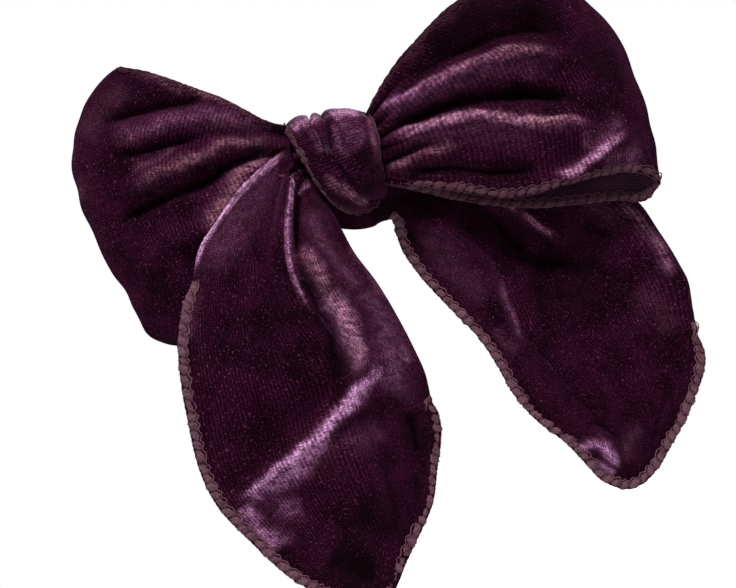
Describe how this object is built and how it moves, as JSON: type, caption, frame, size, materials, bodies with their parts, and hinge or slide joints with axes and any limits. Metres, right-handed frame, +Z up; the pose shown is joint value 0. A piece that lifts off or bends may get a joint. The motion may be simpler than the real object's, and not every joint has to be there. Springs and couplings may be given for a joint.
{
  "type": "alligator hair clip",
  "caption": "Alligator hair clip with a hand-tied stretch-velvet bow: overlocked loops and pointed tails over a sprung, toothed jaw.",
  "frame": {"origin": "middle of the grip: on the clip's centre plane, on the clamping face of the flat arm, behind the knot", "axes": "+X along the clip to the viewer's right, +Y from the bow's front towards the head, +Z up as worn"},
  "size_m": [0.1232, 0.0298, 0.132],
  "materials": {
    "velvet": "crushed velvet",
    "overlock_thread": "matte",
    "grosgrain_ribbon": "matte",
    "nickel_plated_steel": "satin",
    "spring_wire": "satin",
    "hot_melt_glue": "gloss"
  },
  "bodies": {
    "bow_and_arm": {"left_loop": "velvet", "right_loop": "velvet", "left_tail": "velvet", "right_tail": "velvet", "knot_wrap": "velvet", "knot_core": "velvet", "left_loop_upper_edging": "overlock_thread", "left_loop_lower_edging": "overlock_thread", "right_loop_upper_edging": "overlock_thread", "right_loop_lower_edging": "overlock_thread", "left_tail_edging": "overlock_thread", "right_tail_edging": "overlock_thread", "knot_edging": "overlock_thread", "flat_arm": "nickel_plated_steel", "hinge_pin": "nickel_plated_steel", "torsion_spring": "spring_wire", "arm_ribbon": "grosgrain_ribbon", "glue_bead": "hot_melt_glue"},
    "jaw": {"toothed_jaw": "nickel_plated_steel"}
  },
  "joints": [
    {"name": "jaw_hinge", "type": "hinge", "parent": "bow_and_arm", "child": "jaw", "pos_m": [0.01, 0.0032, 0], "axis": [0, 0, -1], "range_deg": [0, 30], "stiffness_Nm_per_rad": 0.067, "springref_deg": -25.78, "deforming": ["torsion_spring"]}
  ]
}
